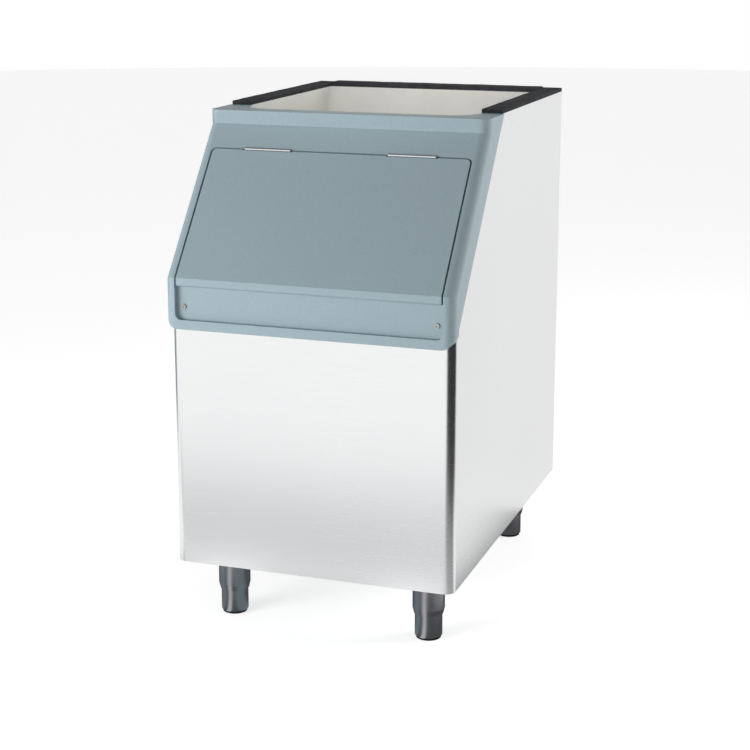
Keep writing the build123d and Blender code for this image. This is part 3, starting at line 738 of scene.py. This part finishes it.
class BIN_OT_stage(bpy.types.Operator):
    """Lay out the floor, the lights, the boards that the steel mirrors, and the camera"""

    bl_idname = "bin.stage"
    bl_label = "Studio"

    def execute(self, context):
        self.floor()
        self.world()
        self.lamps()
        self.cards()
        self.camera()
        context.scene.view_settings.view_transform = "Standard"
        return {"FINISHED"}

    def floor(self):
        """A wide pale floor, white round the shadow. In the steel's mirror its colour is black and it glows
        instead, brighter at the front and dimmer towards the back: a painted reflection of the floor.
        """
        colours = bpy.context.scene.bin_colours
        bm = bmesh.new()
        bmesh.ops.create_circle(bm, cap_ends=True, segments=96, radius=14)
        mesh = mesh_from("studio_floor", bm)
        floor = add_object("studio_floor", mesh)
        material, tree, shader, place = start_material("Studio floor", 0.6)
        shader.inputs["Specular IOR Level"].default_value = 0.2
        shader.inputs["Emission Color"].default_value = WHITE
        path = tree.nodes.new("ShaderNodeLightPath")
        mirrored = path.outputs["Is Glossy Ray"]
        base = mix_colours(tree, mirrored, colours.floor, BLACK)
        link_nodes(tree, (base, shader.inputs["Base Color"]))
        parts = tree.nodes.new("ShaderNodeSeparateXYZ")
        painted_reflection_fade = tree.nodes.new("ShaderNodeMapRange")
        painted_reflection_fade.inputs["From Min"].default_value = -0.8
        painted_reflection_fade.inputs["From Max"].default_value = 0.8
        painted_reflection_fade.inputs["To Min"].default_value = 1.06
        painted_reflection_fade.inputs["To Max"].default_value = 0.86
        link_nodes(tree, (place, parts.inputs[0]), (parts.outputs["Y"], painted_reflection_fade.inputs["Value"]))
        glow = bpy.context.scene.bin_studio.floor_glow
        eye = math_node(tree, "MULTIPLY", seen_by_eye(tree, path), glow)
        # Glossy rays see a painted reflection: a glow that is brighter at the front and dimmer towards the
        # back.
        mirror = math_node(tree, "MULTIPLY", mirrored, painted_reflection_fade.outputs[0])
        tree.links.new(math_node(tree, "ADD", eye, mirror), shader.inputs["Emission Strength"])
        mesh.materials.append(material)

    def world(self):
        """White to the eye. As a light it is bright at the horizon and dims towards the top."""
        world = bpy.data.worlds.new("Studio")
        bpy.context.scene.world = world
        world.use_nodes = True
        tree = world.node_tree
        background = tree.nodes["Background"]
        background.inputs["Color"].default_value = WHITE
        direction = tree.nodes.new("ShaderNodeTexCoord").outputs["Generated"]
        parts = tree.nodes.new("ShaderNodeSeparateXYZ")
        tree.links.new(direction, parts.inputs[0])
        height = tree.nodes.new("ShaderNodeMapRange")
        height.inputs["From Max"].default_value = 0.8
        height.inputs["To Min"].default_value = 0.9
        height.inputs["To Max"].default_value = 0.12
        tree.links.new(parts.outputs["Z"], height.inputs["Value"])
        path = tree.nodes.new("ShaderNodeLightPath")
        strength = math_node(tree, "MAXIMUM", height.outputs[0], seen_by_eye(tree, path))
        tree.links.new(strength, background.inputs["Strength"])

    def lamp(self, name, place, target, size, watts, spread=180):
        """A rectangular lamp that lights the bin but isn't seen or mirrored."""
        light = bpy.data.lights.new(name, "AREA")
        light.spread = math.radians(spread)
        light.shape = "RECTANGLE"
        light.size, light.size_y = size
        light.energy = watts
        lamp = add_object(name, light)
        lamp.location = place
        lamp.rotation_euler = (Vector(target) - Vector(place)).to_track_quat("-Z", "Y").to_euler()
        lamp.visible_camera = False
        lamp.visible_glossy = False

    def lamps(self):
        studio = bpy.context.scene.bin_studio
        self.lamp(
            "front_light", place=(-2.0, -2.7, 0.75), target=(0, 0, 0.7), size=(1.8, 0.6),
            watts=studio.front_power,
        )
        self.lamp(
            "liner_light", place=(0.0, -0.3, 1.75), target=(0, 0.35, 0.85), size=(0.4, 0.1),
            watts=studio.liner_power, spread=64,
        )
        self.lamp(
            "side_light", place=(2.9, 1.3, 1.15), target=(0.2, 0, 0.7), size=(1.6, 1.0),
            watts=studio.side_power,
        )

    def board(self, name, bm, colour):
        """Make a shape into a glowing board that is seen only in the steel's mirror: a painted reflection."""
        mesh = mesh_from(name, bm)
        board = add_object(name, mesh)
        material, _, shader, _ = start_material(name, 1.0)
        shader.inputs["Base Color"].default_value = BLACK
        shader.inputs["Specular IOR Level"].default_value = 0
        shader.inputs["Emission Color"].default_value = colour
        shader.inputs["Emission Strength"].default_value = 1
        mesh.materials.append(material)
        board.visible_camera = False
        board.visible_diffuse = False
        board.visible_shadow = False
        board.visible_transmission = False

    def card(self, name, place, size, turn, colour):
        """A rectangular board, turned by degrees about X and Z."""
        bm = bmesh.new()
        bmesh.ops.create_grid(bm, x_segments=1, y_segments=1, size=0.5)
        bmesh.ops.scale(bm, vec=(size[0], size[1], 1), verts=bm.verts)
        pitch = Matrix.Rotation(math.radians(turn[0]), 4, "X")
        heading = Matrix.Rotation(math.radians(turn[1]), 4, "Z")
        bmesh.ops.transform(bm, matrix=Matrix.Translation(place) @ heading @ pitch, verts=bm.verts)
        self.board(name, bm, colour)

    def wedge(self, name, centre, start, end, height, colour):
        """A three-cornered glowing board on the floor that spreads from a leg, between two headings in
        degrees: a painted stripe of reflection on the leg.
        """
        reach = 0.4
        bm = bmesh.new()
        corners = [bm.verts.new((centre[0], centre[1], height))]
        for heading in (start, end):
            angle = math.radians(heading)
            across, forward = reach * math.sin(angle), reach * math.cos(angle)
            corners.append(bm.verts.new((centre[0] + across, centre[1] - forward, height)))
        bm.faces.new(corners)
        bmesh.ops.recalc_face_normals(bm, faces=bm.faces)
        self.board(name, bm, colour)

    def cards(self):
        """Painted reflections for the steel: dark boards for the rounded corner, and painted highlights
        (light wedges) on a painted shadow under the bin (a dark patch) for the legs.

        Those on the floor lie a little above each other, so that none hides in another.
        """
        # Dark and grey boards that glow only in the mirror: painted reflections in the steel's rounded
        # corner, its low front and the legs.
        self.card(
            "board_right", place=(0.91, -0.83, 0.86), size=(2.08, 1.68), turn=(90, 76.6),
            colour=(0.02, 0.02, 0.02, 1),
        )
        self.card(
            "board_left", place=(-1.6, 0.2, 0.8), size=(1.2, 1.6), turn=(90, -85),
            colour=(0.16, 0.18, 0.21, 1),
        )
        self.card(
            "board_front", place=(-0.45, -1.0, 0.001), size=(1.8, 0.5), turn=(0, 0),
            colour=(0.66, 0.66, 0.67, 1),
        )
        self.card(
            "board_corner", place=(0.95, -0.9, 0.0015), size=(1.0, 1.4), turn=(0, 0),
            colour=(0.38, 0.39, 0.40, 1),
        )
        # A dark board under the bin, seen only in the mirror: the painted shadow below the bin.
        self.card(
            "board_below", place=(-0.08, -0.08, 0.002), size=(0.96, 1.1), turn=(0, 0),
            colour=(0.15, 0.155, 0.16, 1),
        )
        for index, leg in enumerate(("front_left", "front_right")):
            low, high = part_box(f"leg_foot_{leg}")
            centre = ((low[0] + high[0]) / 2, (low[1] + high[1]) / 2)
            height = (3 + index) * MILLIMETRE
            # Each leg mirrors a blue-grey wedge, a painted reflection, and a pale wedge that glows brighter
            # than white, a painted highlight.
            self.wedge(
                f"grey_wedge_{leg}", centre, start=-95, end=-50, height=height, colour=(0.32, 0.39, 0.44, 1)
            )
            self.wedge(
                f"light_wedge_{leg}", centre, start=-26, end=0, height=height, colour=(1.15, 1.15, 1.15, 1)
            )

    def camera(self):
        """A view from the right and slightly above."""
        studio = bpy.context.scene.bin_studio
        data = bpy.data.cameras.new("camera")
        data.sensor_width = 36
        data.lens = studio.lens
        data.shift_y = studio.lens_shift
        data.clip_end = 100
        camera = add_object("camera", data)
        camera.location = studio.camera_place
        camera.rotation_euler = (math.radians(90) - studio.camera_dip, 0, studio.camera_heading)
        bpy.context.scene.camera = camera


STEPS = ("cabinet", "front", "door", "hinges", "liner", "seal", "legs", "drain", "stage")


class BIN_PT_panel(bpy.types.Panel):
    """Lists the steps that build the bin"""

    bl_label = "Ice Bin"
    bl_space_type = "VIEW_3D"
    bl_region_type = "UI"
    bl_category = "Ice Bin"

    def draw(self, context):
        for step in STEPS:
            self.layout.operator(f"bin.{step}")


CLASSES = (
    BinColours,
    BinEdges,
    BinLegs,
    BinStudio,
    BIN_OT_cabinet,
    BIN_OT_front,
    BIN_OT_door,
    BIN_OT_hinges,
    BIN_OT_liner,
    BIN_OT_seal,
    BIN_OT_legs,
    BIN_OT_drain,
    BIN_OT_stage,
    BIN_PT_panel,
)


def register():
    for cls in CLASSES:
        bpy.utils.register_class(cls)
    bpy.types.Scene.bin_colours = bpy.props.PointerProperty(type=BinColours)
    bpy.types.Scene.bin_edges = bpy.props.PointerProperty(type=BinEdges)
    bpy.types.Scene.bin_legs = bpy.props.PointerProperty(type=BinLegs)
    bpy.types.Scene.bin_studio = bpy.props.PointerProperty(type=BinStudio)


def unregister():
    del bpy.types.Scene.bin_studio
    del bpy.types.Scene.bin_legs
    del bpy.types.Scene.bin_edges
    del bpy.types.Scene.bin_colours
    for cls in reversed(CLASSES):
        bpy.utils.unregister_class(cls)


def main():
    register()
    for step in STEPS:
        getattr(bpy.ops.bin, step)()


if __name__ == "__main__":
    main()
